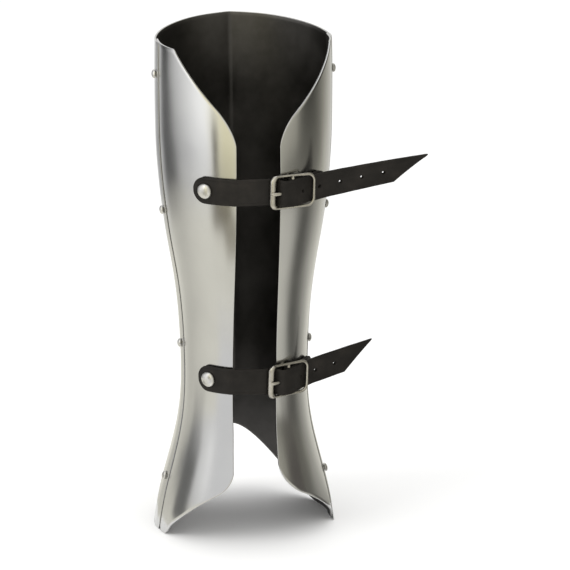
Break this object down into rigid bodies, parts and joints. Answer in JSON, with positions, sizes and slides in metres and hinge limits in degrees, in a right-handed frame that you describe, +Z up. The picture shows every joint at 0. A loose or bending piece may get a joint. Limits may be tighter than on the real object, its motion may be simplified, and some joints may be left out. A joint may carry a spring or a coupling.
{
  "type": "greave",
  "caption": "Plate greave for the left shin and calf in polished steel, open down the back, closed by riveted leather straps with buckles.",
  "frame": {"origin": "middle of the bounding box, straps included, at the level of the lowest part of the ankle rim", "axes": "+Z up the leg, -Y towards the shin ridge, +Y towards the open calf, +X towards the outer side of a left leg"},
  "size_m": [0.2078, 0.1644, 0.398],
  "materials": {
    "plate": "polished, softly reflecting",
    "rivet": "bright nickel",
    "leather": "matt, nearly black brown",
    "buckle": "bright nickel"
  },
  "bodies": {
    "root": {"shin_plate": "plate", "outer_calf_plate": "plate", "inner_calf_plate": "plate", "outer_side_rivet_1": "rivet", "outer_side_rivet_2": "rivet", "outer_side_rivet_3": "rivet", "outer_side_rivet_4": "rivet", "inner_side_rivet_1": "rivet", "inner_side_rivet_2": "rivet", "inner_side_rivet_3": "rivet", "inner_side_rivet_4": "rivet", "upper_strap": "leather", "upper_strap_rivet": "rivet", "upper_buckle_frame": "buckle", "upper_buckle_tongue": "buckle", "upper_buckle_tab": "leather", "upper_tab_rivet": "rivet", "lower_strap": "leather", "lower_strap_rivet": "rivet", "lower_buckle_frame": "buckle", "lower_buckle_tongue": "buckle", "lower_buckle_tab": "leather", "lower_tab_rivet": "rivet"}
  },
  "joints": []
}
